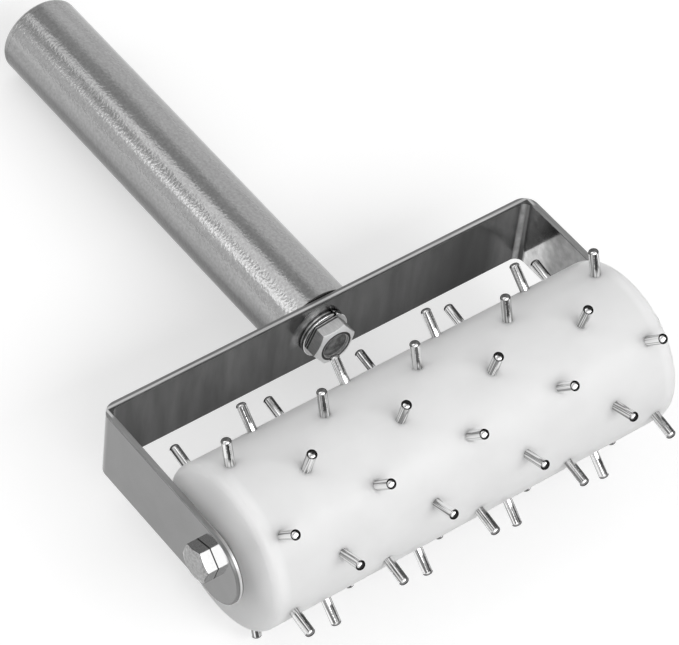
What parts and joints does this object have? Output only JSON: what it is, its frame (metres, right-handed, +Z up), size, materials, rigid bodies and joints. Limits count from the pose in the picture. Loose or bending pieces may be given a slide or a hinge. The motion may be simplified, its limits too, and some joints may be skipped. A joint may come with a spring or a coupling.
{
  "type": "dough docker",
  "caption": "Hand-held dough docker: a plastic roller set with steel pins that turns in a bent steel fork on a round steel tube handle.",
  "frame": {"origin": "on the table, under the middle of the tool's box, with the tool at rest on its lowest row of pins and on the lower edge of the handle's far end", "axes": "+X along the axle towards the lock nut, +Y towards the handle, +Z up"},
  "size_m": [0.1558, 0.216, 0.0638],
  "materials": {
    "white_plastic": "satin moulded",
    "pin_steel": "polished",
    "fork_steel": "fine satin",
    "tube_steel": "satin, ground across",
    "cap_steel": "satin",
    "plug_steel": "turned",
    "bolt_steel": "bright",
    "washer_steel": "bright",
    "ring_plastic": "plain",
    "spacer_plastic": "plain"
  },
  "bodies": {
    "frame": {"fork": "fork_steel", "handle_tube": "tube_steel", "handle_end_cap": "cap_steel", "handle_plug": "plug_steel", "handle_bolt": "bolt_steel", "lock_washer": "washer_steel", "axle_bolt": "bolt_steel", "axle_nut": "bolt_steel", "axle_nut_ring": "ring_plastic", "spacer_left": "spacer_plastic", "spacer_right": "spacer_plastic"},
    "roller": {"roller_drum": "white_plastic", "pin_row_01": "pin_steel", "pin_row_02": "pin_steel", "pin_row_03": "pin_steel", "pin_row_04": "pin_steel", "pin_row_05": "pin_steel", "pin_row_06": "pin_steel", "pin_row_07": "pin_steel", "pin_row_08": "pin_steel", "pin_row_09": "pin_steel", "pin_row_10": "pin_steel", "pin_row_11": "pin_steel", "pin_row_12": "pin_steel"}
  },
  "joints": [
    {"name": "roller_spin", "type": "hinge", "parent": "frame", "child": "roller", "pos_m": [-0.0016, -0.07612, 0.0319], "axis": [1, 0, 0], "continuous": true}
  ]
}
